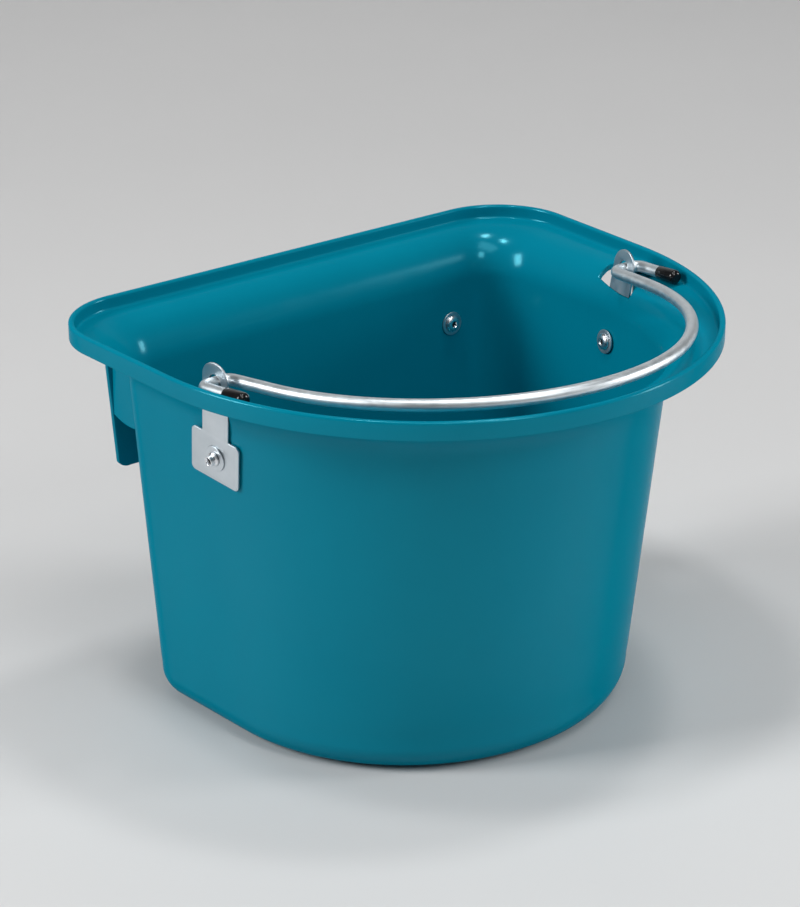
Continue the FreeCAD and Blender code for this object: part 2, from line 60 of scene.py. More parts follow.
# --- driving sizes, the same as the CAD's -----------------------------------------------------------
WALL_TOP = 225
SKIN, FLOOR = 2.8, 3.2
BASE_FILLET = 20.5
LIP_HEIGHT, LIP_THICKNESS, LIP_HOLLOW = 9.5, 4, 2
SHELF = TUB_HEIGHT - LIP_HEIGHT
JOINT_ANGLE = math.radians(-41.2)
RIM = dict(corner=(145, 117), corner_radius=55, front_y=21.8, front_radius=193.8, side_radius=210.5)
WALL = dict(corner=(132.5, 109.7), corner_radius=32, front_y=32.2, front_radius=164.9, side_radius=170.2)
BASE = dict(corner=(120, 99.2), corner_radius=32, front_y=43.1, front_radius=150.5, side_radius=141.2)

ROD_RADIUS = 4
BAIL_REST, BAIL_SAG, BAIL_TAPER = 4.53, 0.6, 8.8
LEG_X, LEG_LENGTH, LEG_TOE = 180.8, 41.9, 4.5

EAR_X, EAR_RADIUS, EAR_RISE, EAR_HOLE = 169.2, 11.4, 1.2, 5
BRACKET_TOE, BRACKET_TILT, BRACKET_LEAN = 7.6, 4.8, 7.35
PLATE = 1.5

HOLE_RADIUS = 3.4
BRACKET_RIVET = (-0.4, -54.6)
STEM, BORE, DIMPLE = 3.2, 1.7, 2.2
HEAD_RADIUS, HEAD_HEIGHT, HEAD_EDGE = 5.8, 2.6, 0.35
FLANGE_RADIUS, FLANGE_HEIGHT, FLANGE_CONE = 4.6, 1.2, 0.7
TAIL_HEIGHT, RECESS_RADIUS, RECESS_DEPTH = 5, 2.3, 3
MANDREL_GAP, MANDREL_TIP = 0.9, 0.7
WASHER_RADIUS, WASHER = 8.4, 1
WASHER_GAPS = {"side": 1.4, "hook": 0.1}

HOOK_RIVET_Z, HOOK_HALF = 197, 27.2
WEB, WEB_LOW, WEB_HIGH = 3, 176, 222
GUSSET, GUSSET_LOW, GUSSET_HIGH = 3, 182.5, 252
TONGUE, TONGUE_Y, TONGUE_LOW, TONGUE_HIGH = 3.5, 168.2, 145.3, 254.6

# how finely curved stretches are divided
BACK_STEPS, CORNER_STEPS, TANGENT_STEPS, SIDE_STEPS, FRONT_STEPS = 24, 26, 10, 34, 32
FOOT_STEPS, WALL_STEPS, FLARE_STEPS = 12, 24, 22
SHARP_ANGLE = math.radians(50)


# --- mesh helpers -----------------------------------------------------------------------------------
def arc(centre, radius, start, end, steps):
    """Points along an arc from one angle to another, in radians."""
    angles = (start + (end - start) * step / steps for step in range(steps + 1))
    return [(centre[0] + radius * math.cos(angle), centre[1] + radius * math.sin(angle)) for angle in angles]


def arc_through(start, middle, end, steps):
    """Points along the circle through three points, from the first to the last."""
    a, b, c = (Vector(point) for point in (start, middle, end))
    double = 2 * (a.x * (b.y - c.y) + b.x * (c.y - a.y) + c.x * (a.y - b.y))
    squares = a.length_squared, b.length_squared, c.length_squared
    centre = Vector((
        (squares[0] * (b.y - c.y) + squares[1] * (c.y - a.y) + squares[2] * (a.y - b.y)) / double,
        (squares[0] * (c.x - b.x) + squares[1] * (a.x - c.x) + squares[2] * (b.x - a.x)) / double,
    ))
    spoke = a - centre
    first = math.atan2(spoke.y, spoke.x)
    return arc(centre, spoke.length, first, first - spoke.angle_signed(c - centre), steps)


def rounded(profile, radius, segments=4):
    """Round the corners of a profile of (radius, height) pairs, apart from its two ends."""
    result = [profile[0]]
    for before, corner, after in zip(profile, profile[1:], profile[2:]):
        a, b, c = (Vector(point) for point in (before, corner, after))
        back, ahead = a - b, c - b
        reach = min(radius, back.length * 0.45, ahead.length * 0.45)
        start, end = b + back.normalized() * reach, b + ahead.normalized() * reach
        for step in range(segments + 1):
            share = step / segments
            point = start.lerp(b, share).lerp(b.lerp(end, share), share)
            result.append((point.x, point.y))
    result.append(profile[-1])
    return result


def bridge(rings):
    """Faces between rings of equal length that all start at the same place."""
    around = len(rings[0])
    faces = []
    for row in range(len(rings) - 1):
        low = row * around
        high = low + around
        for step in range(around):
            after = (step + 1) % around
            faces.append((low + step, low + after, high + after, high + step))
    return faces


def capped_tube(name, rings, place=Matrix.Identity(4), smooth=True):
    """A closed surface through rings of points in millimetres, with a flat cap on its first and last."""
    points = [point for row in rings for point in row]
    around = len(rings[0])
    caps = [tuple(range(around)), tuple(range(len(points) - around, len(points)))]
    return mesh_object(name, points, bridge(rings) + caps, place, smooth)


def add_object(name, mesh):
    piece = bpy.data.objects.new(name, mesh)
    bpy.context.scene.collection.objects.link(piece)
    return piece


def mesh_object(name, points, faces, place, smooth=True):
    """Make an object from points in millimetres, put in place by a matrix in millimetres."""
    mesh = bpy.data.meshes.new(name)
    mesh.from_pydata([(place @ Vector(point)) * MM for point in points], [], faces)
    mesh.validate()
    maker = bmesh.new()
    maker.from_mesh(mesh)
    bmesh.ops.recalc_face_normals(maker, faces=maker.faces)
    maker.to_mesh(mesh)
    maker.free()
    mesh.shade_smooth() if smooth else mesh.shade_flat()
    return add_object(name, mesh)


def lathe(name, profile, place, steps=64):
    """Turn a profile of (radius, height) pairs about Z. Ends with no radius close to a point."""
    points, faces, rings = [], [], []
    for radius, height in profile:
        if radius == 0:
            rings.append([len(points)])
            points.append((0, 0, height))
            continue
        rings.append(list(range(len(points), len(points) + steps)))
        points += [(x, y, height) for x, y in arc((0, 0), radius, 0, 4 * QUARTER, steps)[:-1]]
    for low, high in zip(rings, rings[1:]):
        for step in range(steps):
            after = (step + 1) % steps
            if len(low) == 1:
                faces.append((low[0], high[after], high[step]))
            elif len(high) == 1:
                faces.append((low[step], low[after], high[0]))
            else:
                faces.append((low[step], low[after], high[after], high[step]))
    return mesh_object(name, points, faces, place)


def cut_away(piece, cutter):
    """Cut one object out of another, and remove the cutter."""
    cut = piece.modifiers.new("cut", "BOOLEAN")
    cut.object = cutter
    cut.solver = "EXACT"
    graph = bpy.context.evaluated_depsgraph_get()
    mesh = bpy.data.meshes.new_from_object(piece.evaluated_get(graph))
    piece.modifiers.clear()
    piece.data = mesh
    bpy.data.objects.remove(cutter)


def place_piece(piece, body, slot, material, *nodes):
    """Give a piece its material, hide the CAD nodes it stands for, and attach it to the body it moves with.
    """
    piece.data.materials.clear()
    piece.data.materials.append(material)
    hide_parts(*nodes)
    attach(piece, body)


# --- materials --------------------------------------------------------------------------------------
class Nodes:
    """A short way to wire a node material."""

    def __init__(self, name):
        self.material = bpy.data.materials.new(name)
        self.material.use_nodes = True
        self.tree = self.material.node_tree
        self.shader = self.tree.nodes["Principled BSDF"]
        self.coordinates = self.add("ShaderNodeTexCoord").outputs["Object"]

    def add(self, kind, links=None):
        node = self.tree.nodes.new(kind)
        for key, output in (links or {}).items():
            self.tree.links.new(output, node.inputs[key])
        return node

    def noise(self, scale, detail=3.0, roughness=0.5, stretch=None):
        source = self.coordinates
        if stretch:
            mapping = self.add("ShaderNodeMapping", {"Vector": source})
            mapping.inputs["Scale"].default_value = stretch
            source = mapping.outputs["Vector"]
        node = self.add("ShaderNodeTexNoise", {"Vector": source})
        node.inputs["Scale"].default_value = scale
        node.inputs["Detail"].default_value = detail
        node.inputs["Roughness"].default_value = roughness
        return node.outputs["Fac"]

    def ramp(self, source, low_colour, high_colour, low=0.3, high=0.7):
        node = self.add("ShaderNodeValToRGB", {"Fac": source})
        stops = ((low, low_colour), (high, high_colour))
        for element, (position, colour) in zip(node.color_ramp.elements, stops):
            element.position = position
            element.color = (*colour, 1)
        return node.outputs["Color"]

    def span(self, source, low, high, from_low=0.3, from_high=0.7):
        node = self.add("ShaderNodeMapRange", {"Value": source})
        node.inputs["From Min"].default_value = from_low
        node.inputs["From Max"].default_value = from_high
        node.inputs["To Min"].default_value = low
        node.inputs["To Max"].default_value = high
        return node.outputs["Result"]

    def bump(self, height, strength, distance):
        node = self.add("ShaderNodeBump", {"Height": height})
        node.inputs["Strength"].default_value = strength
        node.inputs["Distance"].default_value = distance
        return node.outputs["Normal"]

    def to(self, socket, output):
        self.tree.links.new(output, self.shader.inputs[socket])

    def fix(self, **values):
        for key, value in values.items():
            self.shader.inputs[key.replace("_", " ")].default_value = value


def teal_plastic():
    """Glossy polypropylene: faint flow marks, and a gloss that dies away where it is seen edge on."""
    nodes = Nodes("teal_polypropylene")
    flow = nodes.noise(9, 4, 0.55, stretch=(1, 1, 0.45))
    nodes.to("Base Color", nodes.ramp(flow, (0.0002, 0.196, 0.290), (0.0003, 0.211, 0.308), 0.35, 0.65))
    nodes.to("Roughness", nodes.span(nodes.noise(34, 5, 0.6), 0.14, 0.20))
    nodes.to("Normal", nodes.bump(nodes.noise(40, 2, 0.4), 0.03, 0.0004))
    facing = nodes.add("ShaderNodeLayerWeight").outputs["Facing"]
    nodes.to("IOR", nodes.span(facing, 1.50, 1.03, 0.12, 0.6))
    nodes.fix(Specular_Tint=(0.18, 0.84, 1.0, 1.0))
    return nodes.material


def zinc(name, bright, dark, rough, spangle):
    """Plated metal: cloudy spangles of a given scale, a fine grain, and painted shade that darkens its
    crevices and recesses.
    """
    nodes = Nodes(name)
    cloud = nodes.ramp(nodes.noise(spangle, 5, 0.6), dark, bright)
    # painted shade: ambient occlusion darkens the base colour in crevices, recesses and where parts meet,
    # down to 2% in the deepest
    painted_shade_ao = nodes.add("ShaderNodeAmbientOcclusion")
    painted_shade_ao.inputs["Distance"].default_value = 3.5 * MM
    painted_shade_factor = nodes.span(painted_shade_ao.outputs["AO"], 0.02, 1.0, 0.2, 0.6)
    shaded = nodes.add("ShaderNodeVectorMath", {0: cloud, 1: painted_shade_factor})
    shaded.operation = "MULTIPLY"
    nodes.to("Base Color", shaded.outputs["Vector"])
    nodes.to("Roughness", nodes.span(nodes.noise(spangle * 2.3, 4, 0.6), rough - 0.06, rough + 0.08))
    nodes.to("Normal", nodes.bump(nodes.noise(spangle * 14, 4, 0.6), 0.12, 0.00008))
    nodes.fix(Metallic=1.0)
    return nodes.material


def black_vinyl():
    """Dipped vinyl: nearly black, shiny and slightly uneven."""
    nodes = Nodes("black_vinyl")
    nodes.to("Base Color", nodes.ramp(nodes.noise(60), (0.004, 0.004, 0.0045), (0.008, 0.008, 0.009)))
    nodes.to("Roughness", nodes.span(nodes.noise(140, 4), 0.10, 0.16))
    nodes.to("Normal", nodes.bump(nodes.noise(420), 0.04, 0.0001))
    nodes.fix(IOR=1.45)
    return nodes.material


TEAL = teal_plastic()
VINYL = black_vinyl()
ZINC_WIRE = zinc("zinc_wire", bright=(0.84, 0.90, 0.93), dark=(0.72, 0.79, 0.83), rough=0.42, spangle=70)
ZINC_PLATE = zinc("zinc_plate", bright=(0.64, 0.69, 0.73), dark=(0.55, 0.61, 0.65), rough=0.40, spangle=30)
RIVET_METAL = zinc("rivet_metal", bright=(0.88, 0.90, 0.92), dark=(0.78, 0.80, 0.83), rough=0.28, spangle=160)
# near-black: a steel mandrel darkened as painted shade, so the rivet's hollow end looks like a dark hole
MANDREL_SHADE_STEEL = zinc("mandrel_steel", bright=(0.06, 0.06, 0.07), dark=(0.03, 0.03, 0.035), rough=0.55,
                     spangle=260)


# --- tub --------------------------------------------------------------------------------------------
def between(low, high, share):
    """An outline part of the way from one to another."""
    mixed = {key: low[key] + (high[key] - low[key]) * share for key in low if key != "corner"}
    mixed["corner"] = tuple(a + (b - a) * share for a, b in zip(low["corner"], high["corner"]))
    return mixed


def grown(outline, distance):
    """An outline moved outwards all round."""
    wider = dict(outline)
    for key in ("corner_radius", "front_radius", "side_radius"):
        wider[key] += distance
    return wider


def plan(outline):
    """The tub's plan as matching lists of points and outward directions, with rounder stretches denser."""
    front = Vector((0, outline["front_y"]))
    shift = outline["side_radius"] - outline["front_radius"]
    side = front - Vector((math.cos(JOINT_ANGLE), math.sin(JOINT_ANGLE))) * shift
    corner = Vector(outline["corner"])
    span = corner - side
    lean = math.acos((outline["side_radius"] - outline["corner_radius"]) / span.length)
    tangent = math.atan2(span.y, span.x) - lean
    back = Vector((0, 1))
    across = Vector((math.cos(tangent), math.sin(tangent)))
    points = [Vector((0, corner.y + outline["corner_radius"]))]
    outward = [back]

    def straight(end, direction, steps):
        begin = points[-1]
        points.extend([begin.lerp(end, step / steps) for step in range(1, steps + 1)])
        outward.extend([direction] * steps)

    def turn(centre, radius, start, end, steps):
        points.extend(Vector(point) for point in arc(centre, radius, start, end, steps)[1:])
        outward.extend(Vector(point) for point in arc((0, 0), 1, start, end, steps)[1:])

    straight(Vector((corner.x, corner.y + outline["corner_radius"])), back, BACK_STEPS)
    turn(corner, outline["corner_radius"], QUARTER, tangent, CORNER_STEPS)
    straight(side + across * outline["side_radius"], across, TANGENT_STEPS)
    turn(side, outline["side_radius"], tangent, JOINT_ANGLE, SIDE_STEPS)
    turn(front, outline["front_radius"], JOINT_ANGLE, -QUARTER, FRONT_STEPS)
    left = [Vector((-p.x, p.y)) for p in points[-2:0:-1]]
    left_outward = [Vector((-d.x, d.y)) for d in outward[-2:0:-1]]
    return points + left, outward + left_outward


def ring(outline, height):
    return [Vector((p.x, p.y, height)) for p in plan(outline)[0]]


def wall_rings(low, high, low_height, high_height, fillet):
    """Rings up a drafted wall, with a true rounding at its foot that touches floor and wall."""
    feet, outward = plan(low)
    tops = plan(high)[0]
    rise = high_height - low_height
    drafts = [math.atan2((top - foot).dot(out), rise) for foot, top, out in zip(feet, tops, outward)]
    rings = []
    for step in range(FOOT_STEPS + 1):
        row = []
        for foot, top, out, draft in zip(feet, tops, outward, drafts):
            angle = QUARTER - (QUARTER + draft) * step / FOOT_STEPS
            height = fillet - fillet * math.sin(angle)
            centre = fillet * math.tan(draft) - fillet / math.cos(draft)
            inset = centre + fillet * math.cos(angle) - height * math.tan(draft)
            place = foot.lerp(top, height / rise) + out * inset
            row.append(Vector((place.x, place.y, low_height + height)))
        rings.append(row)
    for step in range(1, WALL_STEPS + 1):
        row = []
        for foot, top, draft in zip(feet, tops, drafts):
            start = fillet * (1 + math.sin(draft)) / rise
            share = start + (1 - start) * step / WALL_STEPS
            place = foot.lerp(top, share)
            row.append(Vector((place.x, place.y, low_height + rise * share)))
        rings.append(row)
    return rings


def flare_rings(low, high, low_height, rise):
    """Rings up the flare, a quarter of an ellipse from the wall out to the shelf."""
    rings = []
    for level, height in arc((0, 0), 1, 0, QUARTER, FLARE_STEPS)[1:]:
        rings.append(ring(between(low, high, 1 - level), low_height + rise * height))
    return rings


def rim_rings():
    """Rings over the lip: a hollow corner, a rounded crest and a rounded outer foot."""
    inner, crest, foot, low = -LIP_THICKNESS, 1.9, 0.9, SHELF - SKIN
    crest_height = TUB_HEIGHT - crest
    inner_edge, outer_edge = crest_height - 2.2, crest_height - 3
    rows = arc((inner - LIP_HOLLOW, SHELF + LIP_HOLLOW), LIP_HOLLOW, -QUARTER, 0, 5)[1:]
    rows += [(inner, inner_edge)]
    rows += arc((inner + crest, crest_height), crest, 2 * QUARTER, QUARTER, 8)
    rows += arc((-crest, crest_height), crest, QUARTER, 0, 8)
    rows += [(0, outer_edge)]
    rows += arc((-foot, low + foot), foot, 0, -QUARTER, 5)
    return [ring(grown(RIM, offset), height) for offset, height in rows]


def disc_rings(edge, shares):
    """Rings that shrink from an edge ring towards its middle."""
    middle = sum(edge, Vector()) / len(edge)
    return [[middle.lerp(point, share) for point in edge] for share in shares]


def bracket_place(side):
    """A bracket's own frame: X is the way out, Y the way back and Z up the plate."""
    turn = (Matrix.Rotation(math.radians(-side * BRACKET_TOE), 4, "Z")
            @ Matrix.Rotation(math.radians(side * BRACKET_TILT), 4, "Y")
            @ Matrix.Rotation(math.radians(BRACKET_LEAN), 4, "X"))
    return Matrix.Translation((side * EAR_X, HINGE.y, HINGE.z + BAIL_SAG)) @ turn


def slot_cutter(side):
    """A bar that passes up through the flare where an ear comes through: narrow in front, round behind."""
    inner, outer, narrow, front, back, corner, low, high = 1.1, 9, 1.5, 12.4, 24.9, 4, -41, -5
    outline = [(-inner, -front), (narrow, -front), (outer, 0)]
    outline += arc((outer - corner, back - corner), corner, 0, QUARTER, 8)
    outline += arc((corner - inner, back - corner), corner, QUARTER, 2 * QUARTER, 8)
    rings = [[(side * x, y, height) for x, y in outline] for height in (low, high)]
    return capped_tube("slot_cutter", rings, bracket_place(side), smooth=False)


def build_tub():
    lip_inner = grown(RIM, -LIP_THICKNESS - LIP_HOLLOW)
    flare_end = grown(RIM, -LIP_THICKNESS)
    inner_wall = grown(WALL, -SKIN)
    inner_foot = grown(between(BASE, WALL, FLOOR / WALL_TOP), -SKIN)
    inner = wall_rings(inner_foot, inner_wall, FLOOR, WALL_TOP, BASE_FILLET - SKIN)
    outer = wall_rings(BASE, WALL, 0, WALL_TOP, BASE_FILLET)
    shares = [0.04, 0.2, 0.4, 0.6, 0.8, 0.93]
    rings = disc_rings(inner[0], shares) + inner
    rings += flare_rings(inner_wall, lip_inner, WALL_TOP, SHELF - WALL_TOP)
    rings += rim_rings()
    rings += flare_rings(WALL, flare_end, WALL_TOP, SHELF - SKIN - WALL_TOP)[::-1]
    rings += outer[::-1]
    rings += disc_rings(outer[0], shares[::-1])
    tub = capped_tube("tub_moulding", rings)
    for side in SIDES.values():
        cut_away(tub, slot_cutter(side))
    return tub


# --- sheet metal ------------------------------------------------------------------------------------
# turns a plate's own (x, y, thickness) into (y, z, x), so that it stands fore and aft
FORE_AND_AFT = Matrix(((0, 0, 1, 0), (1, 0, 0, 0), (0, 1, 0, 0), (0, 0, 0, 1)))


def sheet_part(name, outlines, thickness, edge, place):
    """A flat plate with rounded edges: the first outline is its border and the others are holes."""
    curve = bpy.data.curves.new(name, "CURVE")
    curve.dimensions = "2D"
    curve.fill_mode = "BOTH"
    curve.extrude = (thickness / 2 - edge) * MM
    curve.bevel_depth = edge * MM
    curve.bevel_resolution = 3
    curve.offset = -edge * MM
    for outline in outlines:
        spline = curve.splines.new("POLY")
        spline.points.add(len(outline) - 1)
        for point, (x, y) in zip(spline.points, outline):
            point.co = (x * MM, y * MM, 0, 1)
        spline.use_cyclic_u = True
    drawn = add_object(name, curve)
    graph = bpy.context.evaluated_depsgraph_get()
    mesh = bpy.data.meshes.new_from_object(drawn.evaluated_get(graph))
    bpy.data.objects.remove(drawn)
    scaled = place.copy()
    scaled.translation = scaled.translation * MM
    mesh.transform(scaled)
    maker = bmesh.new()
    maker.from_mesh(mesh)
    bmesh.ops.remove_doubles(maker, verts=maker.verts, dist=MM / 1000)
    bmesh.ops.recalc_face_normals(maker, faces=maker.faces)
    maker.to_mesh(mesh)
    maker.free()
    mesh.shade_smooth()
    mesh.set_sharp_from_angle(angle=SHARP_ANGLE)
    return add_object(name, mesh)


def build_bracket(name, side):
    shoulder, drop, half, corner, fillet, edge = 38.9, 70.5, 21, 3.5, 1.2, 0.35
    outline = arc((0, EAR_RISE), EAR_RADIUS, 0, 2 * QUARTER, 40)
    outline += [(-EAR_RADIUS, -shoulder + fillet)]
    outline += arc((-EAR_RADIUS - fillet, -shoulder + fillet), fillet, 0, -QUARTER, 5)
    outline += arc((-half + corner, -shoulder - corner), corner, QUARTER, 2 * QUARTER, 8)
    outline += arc((-half + corner, -drop + corner), corner, 2 * QUARTER, 3 * QUARTER, 8)
    outline += arc((half - corner, -drop + corner), corner, 3 * QUARTER, 4 * QUARTER, 8)
    outline += arc((half - corner, -shoulder - corner), corner, 0, QUARTER, 8)
    outline += arc((EAR_RADIUS + fillet, -shoulder + fillet), fillet, 3 * QUARTER, 2 * QUARTER, 5)
    ear_hole = arc((0, 0), EAR_HOLE, 4 * QUARTER, 0, 48)[:-1]
    rivet_hole = arc(BRACKET_RIVET, HOLE_RADIUS, 4 * QUARTER, 0, 32)[:-1]
    place = bracket_place(side) @ FORE_AND_AFT
    return sheet_part(f"bracket_{name}_plate", [outline, ear_hole, rivet_hole], PLATE, edge, place)


# --- bail -------------------------------------------------------------------------------------------
def bail_line():
    """The bail's centreline in its own plane, from one leg's end to the other's."""
    taper, toe = math.radians(BAIL_TAPER), math.radians(LEG_TOE)
    corner_radius, front_radius, reach = 167.1, 147.2, 176.1
    arm_x, bend = 159.5, 6.5
    inward = Vector((-math.cos(taper), math.sin(taper)))
    forward = Vector((-math.sin(taper), -math.cos(taper)))
    base = Vector((arm_x, 0)) + inward * corner_radius
    front = Vector((0, front_radius - reach))
    offset = base - front
    gap = corner_radius - front_radius
    along = offset.dot(forward)
    corner = base + forward * (-along - math.sqrt(along * along - offset.dot(offset) + gap * gap))
    bend_centre = Vector((arm_x + bend * (1 - math.sin(taper)) / math.cos(taper), -bend))
    leg_centre = Vector((LEG_X - bend * (1 + math.sin(toe)) / math.cos(toe), -bend))
    meet = math.atan2(front.y - corner.y, front.x - corner.x)
    half = [(LEG_X - math.sin(toe) * LEG_LENGTH * share, -math.cos(toe) * LEG_LENGTH * share)
            for share in (1, 0.8, 0.6, 0.4)]
    half += arc(leg_centre, bend, -toe, QUARTER, 14)
    half += [(bend_centre.x + 4, 0)]
    half += arc(bend_centre, bend, QUARTER, 2 * QUARTER - taper, 14)
    half += arc(corner, corner_radius, -taper, meet, 44)
    half += arc(front, front_radius, meet, -QUARTER, 16)[1:]
    return [Vector((x, y, 0)) for x, y in half + [(-x, y) for x, y in half[-2::-1]]]


def bail_place():
    return Matrix.Translation((0, HINGE.y, HINGE.z)) @ Matrix.Rotation(math.radians(-BAIL_REST), 4, "X")


def build_bail():
    line = bail_line()
    up = Vector((0, 0, 1))
    rings = []
    for before, centre, after in zip(line[:1] + line, line, line[1:] + line[-1:]):
        across = up.cross((after - before).normalized())
        section = arc((0, 0), ROD_RADIUS, 0, 4 * QUARTER, 28)[:-1]
        rings.append([centre + across * sideways + up * height for sideways, height in section])
    return capped_tube("bail_wire", rings, bail_place())


def build_cap(name, side):
    radius, length, end, toe = 4.8, 18.4, 1.4, math.radians(LEG_TOE)
    reach = LEG_LENGTH + end
    nose = radius * 0.65
    profile = [(0, 0)]
    profile += arc((radius - nose, nose), nose, -QUARTER, 0, 10)
    profile += [(radius, length - 0.8), (radius - 0.25, length - 0.2), (radius - 0.7, length)]
    profile += [(ROD_RADIUS, length), (ROD_RADIUS, length - 3)]
    tip = Vector((side * (LEG_X - reach * math.sin(toe)), -reach * math.cos(toe), 0))
    along_leg = Matrix.Rotation(-side * toe, 4, "Z") @ Matrix.Rotation(-QUARTER, 4, "X")
    return lathe(f"cap_{name}_vinyl", profile, bail_place() @ Matrix.Translation(tip) @ along_leg)


# --- rivets and washers -----------------------------------------------------------------------------
def back_y(height):
    """Where the outside of the flat back is at a height."""
    low, high = (outline["corner"][1] + outline["corner_radius"] for outline in (BASE, WALL))
    return low + (high - low) * height / WALL_TOP


def back_angle():
    return math.atan2(back_y(WALL_TOP) - back_y(0), WALL_TOP)


def fixing_places():
    """Each rivet's frame: Z is the way out through the wall, from the wall's outside."""
    places = {}
    for name, side in SIDES.items():
        on_plate = Matrix.Translation((-side * PLATE / 2, *BRACKET_RIVET))
        outwards = Matrix.Rotation(side * QUARTER, 4, "Y")
        places[f"side_{name}"] = bracket_place(side) @ on_plate @ outwards
        on_back = Matrix.Translation((side * HOOK_X, back_y(HOOK_RIVET_Z), HOOK_RIVET_Z))
        places[f"hook_{name}"] = on_back @ Matrix.Rotation(-QUARTER - back_angle(), 4, "X")
    return places


def washer_profile(low):
    high = low + WASHER
    middle = low + WASHER / 2
    corners = [(HOLE_RADIUS, low), (WASHER_RADIUS, low), (WASHER_RADIUS, high), (HOLE_RADIUS, high)]
    return rounded([(HOLE_RADIUS, middle)] + corners + [(HOLE_RADIUS, middle)], 0.3)


def head_profile(foot):
    """A rivet's domed head, from the mandrel's end over the rim of the dimple to the edge."""
    top = foot - HEAD_HEIGHT
    rim_width, rim_height = 0.3, 0.5
    profile = [(BORE, top + MANDREL_GAP)]
    profile += [(DIMPLE - rim_width + rim_width * out, top + rim_height * (1 - out))
                for _, out in arc((0, 0), 1, 0, QUARTER, 4)]
    profile += [(DIMPLE + (HEAD_RADIUS - DIMPLE) * out, foot - HEAD_EDGE - (HEAD_HEIGHT - HEAD_EDGE) * up)
                for up, out in arc((0, 0), 1, 0, QUARTER, 14)[1:]]
    return profile


def tail_profile(head_foot, outer):
    """A rivet's stem, its swollen flange outside the wall and its hollow end."""
    cone_end, tail_end = outer + FLANGE_HEIGHT + FLANGE_CONE, outer + TAIL_HEIGHT
    recess_end = tail_end - RECESS_DEPTH
    into_bore = 0.6
    corners = [(HEAD_RADIUS, head_foot), (STEM, head_foot), (STEM, outer), (FLANGE_RADIUS, outer),
               (FLANGE_RADIUS, outer + FLANGE_HEIGHT), (STEM, cone_end), (STEM, tail_end),
               (RECESS_RADIUS, tail_end), (BORE, recess_end), (BORE, recess_end - into_bore)]
    return rounded(corners, 0.4)


def mandrel_profile(start, end):
    chamfer, cone = 0.5, 0.3
    corners = [(0, start), (BORE, start + cone), (BORE, end), (BORE - chamfer, end + chamfer),
               (0, end + MANDREL_TIP)]
    return rounded(corners, 0.2)


def build_fixing(name, place):
    """A rivet, the mandrel left in it and its two washers."""
    grip = PLATE if name.startswith("side") else WEB
    outer = grip + WASHER
    head_foot = -(SKIN + WASHER_GAPS[name.split("_")[0]]) - WASHER
    mandrel_ends = head_foot - HEAD_HEIGHT + MANDREL_GAP, outer + TAIL_HEIGHT - RECESS_DEPTH
    rivet = lathe(f"rivet_{name}_body", head_profile(head_foot) + tail_profile(head_foot, outer), place)
    mandrel = lathe(f"mandrel_{name}_stem", mandrel_profile(*mandrel_ends), place, 32)
    place_piece(rivet, "root", "rivet_metal", RIVET_METAL, f"rivet_{name}")
    place_piece(mandrel, "root", "mandrel_steel", MANDREL_SHADE_STEEL, f"mandrel_{name}")
    for where, low in (("inner", head_foot), ("outer", grip)):
        washer = lathe(f"washer_{where}_{name}_ring", washer_profile(low), place)
        place_piece(washer, "root", "zinc_plate", ZINC_PLATE, f"washer_{where}_{name}")


# --- hooks ------------------------------------------------------------------------------------------
def gusset_outline():
    """A gusset's side view as (y, z) points: its top runs up under the flare."""
    clearance, back_low, middle_low = 0.6, 185.2, 181.8
    foot, shoulder = (back_y(GUSSET_LOW), GUSSET_LOW), (back_y(WEB_HIGH) + clearance, WEB_HIGH)
    rise, run = GUSSET_HIGH - WEB_HIGH, TONGUE_Y - shoulder[0]
    under_flare = (shoulder[0] + 0.3 * run, WEB_HIGH + 0.72 * rise)
    top = arc_through(shoulder, under_flare, (TONGUE_Y, GUSSET_HIGH), 10)
    bottom = arc_through((TONGUE_Y, back_low), ((foot[0] + TONGUE_Y) / 2, middle_low), foot, 12)
    return top + bottom


def web_outline():
    """The web's side view as (y, z) points: it lies along the flat back."""
    depth = WEB / math.cos(back_angle())
    return [(back_y(WEB_LOW), WEB_LOW), (back_y(WEB_HIGH), WEB_HIGH),
            (back_y(WEB_HIGH) + depth, WEB_HIGH), (back_y(WEB_LOW) + depth, WEB_LOW)]


def tongue_outline():
    """The tongue's view from behind as (x, z) points, with two rounded lower corners."""
    narrow, wide, across, up = 24.2, 33.4, 9, 4.5
    side_end = (narrow + (wide - narrow) * up / (TONGUE_HIGH - TONGUE_LOW), TONGUE_LOW + up)
    share = 1 - math.sqrt(0.5)
    middle = (narrow - across * share, TONGUE_LOW + up * share)
    right = [(wide, TONGUE_HIGH)] + arc_through(side_end, middle, (narrow - across, TONGUE_LOW), 12)
    return right + [(-x, z) for x, z in right[::-1]]


def build_hook(name, side):
    """One moulding: two gussets and a web fore and aft, and a tongue across their ends."""
    centre = side * HOOK_X
    behind = Matrix.Translation((centre, TONGUE_Y + TONGUE / 2, 0)) @ Matrix.Rotation(QUARTER, 4, "X")
    pieces = []
    for hand in (-1, 1):
        across = Matrix.Translation((centre + hand * (HOOK_HALF - GUSSET / 2), 0, 0))
        pieces.append(sheet_part("gusset", [gusset_outline()], GUSSET, edge=0.8, place=across @ FORE_AND_AFT))
    across = Matrix.Translation((centre, 0, 0))
    pieces.append(sheet_part("web", [web_outline()], 2 * HOOK_HALF, edge=0.6, place=across @ FORE_AND_AFT))
    pieces.append(sheet_part("tongue", [tongue_outline()], TONGUE, edge=0.9, place=behind))
    maker = bmesh.new()
    for piece in pieces:
        maker.from_mesh(piece.data)
        bpy.data.objects.remove(piece)
    mesh = bpy.data.meshes.new(f"hook_{name}_moulding")
    maker.to_mesh(mesh)
    maker.free()
    mesh.set_sharp_from_angle(angle=SHARP_ANGLE)
    return add_object(f"hook_{name}_moulding", mesh)


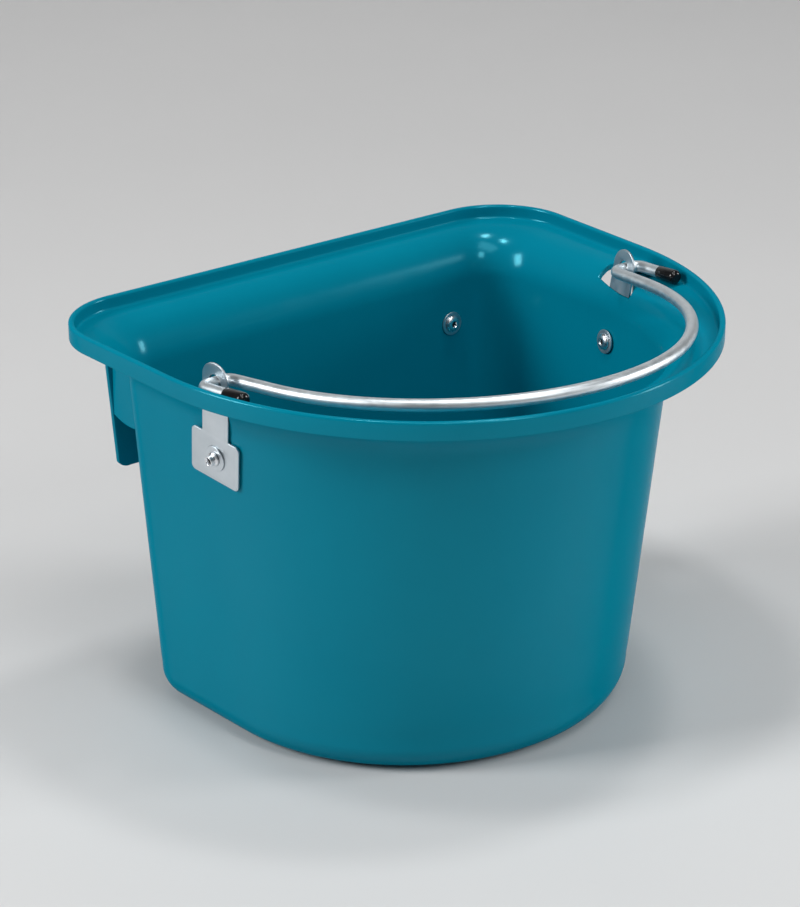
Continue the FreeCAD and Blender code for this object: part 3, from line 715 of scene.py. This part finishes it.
place_piece(build_tub(), "root", "teal_plastic", TEAL, "tub")
place_piece(build_bail(), "bail", "zinc_wire", ZINC_WIRE, "bail")
for side_name, side_sign in SIDES.items():
    place_piece(build_cap(side_name, side_sign), "bail", "black_vinyl", VINYL, f"cap_{side_name}")
    place_piece(build_bracket(side_name, side_sign), "root", "zinc_plate", ZINC_PLATE, f"bracket_{side_name}")
    place_piece(build_hook(side_name, side_sign), "root", "teal_plastic", TEAL, f"hook_{side_name}")
for fixing_name, fixing_place in fixing_places().items():
    build_fixing(fixing_name, fixing_place)


# --- stage, camera and lights, in metres ------------------------------------------------------------
def pale_floor():
    nodes = Nodes("pale_floor")
    nodes.to("Base Color", nodes.ramp(nodes.noise(1.5), (0.64, 0.64, 0.64), (0.66, 0.66, 0.66)))
    nodes.to("Roughness", nodes.span(nodes.noise(8), 0.55, 0.7, 0.0, 1.0))
    return nodes.material


def stage():
    """A floor that bends up into a backdrop, square to the camera."""
    half, front, back, bend, height, azimuth = 6.0, -4.0, 3.5, 1.2, 5.0, -38.55
    profile = [(front, 0.0)] + arc((back - bend, bend), bend, -QUARTER, 0, 16) + [(back, height)]
    turn = Matrix.Rotation(math.radians(azimuth), 4, "Z")
    points, faces = [], []
    for along, up in profile:
        points += [turn @ Vector((-half, along, up)), turn @ Vector((half, along, up))]
    for step in range(len(profile) - 1):
        faces.append((2 * step, 2 * step + 1, 2 * step + 3, 2 * step + 2))
    mesh = bpy.data.meshes.new("sweep")
    mesh.from_pydata(points, [], faces)
    mesh.shade_smooth()
    mesh.materials.append(pale_floor())
    add_object("sweep", mesh)


def camera():
    lens = bpy.data.cameras.new("camera")
    lens.sensor_width = 36
    lens.lens = 113.6
    ahead = Vector((0.5740, 0.7204, -0.3893))
    view = add_object("camera", lens)
    view.location = (-1.0948, -1.3274, 0.9010)
    view.rotation_euler = ahead.to_track_quat("-Z", "Y").to_euler()
    bpy.context.scene.camera = view


def surroundings(strength):
    world = bpy.data.worlds.new("studio")
    world.use_nodes = True
    background = world.node_tree.nodes["Background"]
    background.inputs["Color"].default_value = (1, 1, 1, 1)
    background.inputs["Strength"].default_value = strength
    bpy.context.scene.world = world


def add_light(name, place, target, size, power):
    lamp = bpy.data.lights.new(name, "AREA")
    lamp.shape = "RECTANGLE"
    lamp.size, lamp.size_y = size
    lamp.energy = power
    light = add_object(name, lamp)
    light.location = place
    light.rotation_euler = (Vector(target) - Vector(place)).to_track_quat("-Z", "Y").to_euler()


stage()
camera()
surroundings(0.10)
middle = (0, 0, 0.15)
add_light("key", (-3.1, 1.35, 1.95), middle, (1.2, 1.6), 94)
add_light("side", (2.5, -1.9, 0.9), middle, (0.7, 1.4), 43)
add_light("front", (-0.1, -1.9, 1.75), (0.1, 0.1, 0.24), (0.5, 0.6), 8)
add_light("front_top", (-0.4, -1.5, 2.9), (-0.4, -1.3, 0), (1.8, 1.2), 20)
add_light("top_left", (-0.5, 0.1, 2.6), middle, (0.3, 0.3), 11)
add_light("top_right", (0.5, -0.1, 2.6), middle, (0.3, 0.3), 11)
add_light("backdrop", (1.0, 1.6, 2.6), (2.6, 3.2, 1.0), (1.6, 0.8), 11)
bpy.context.scene.view_settings.view_transform = "Standard"
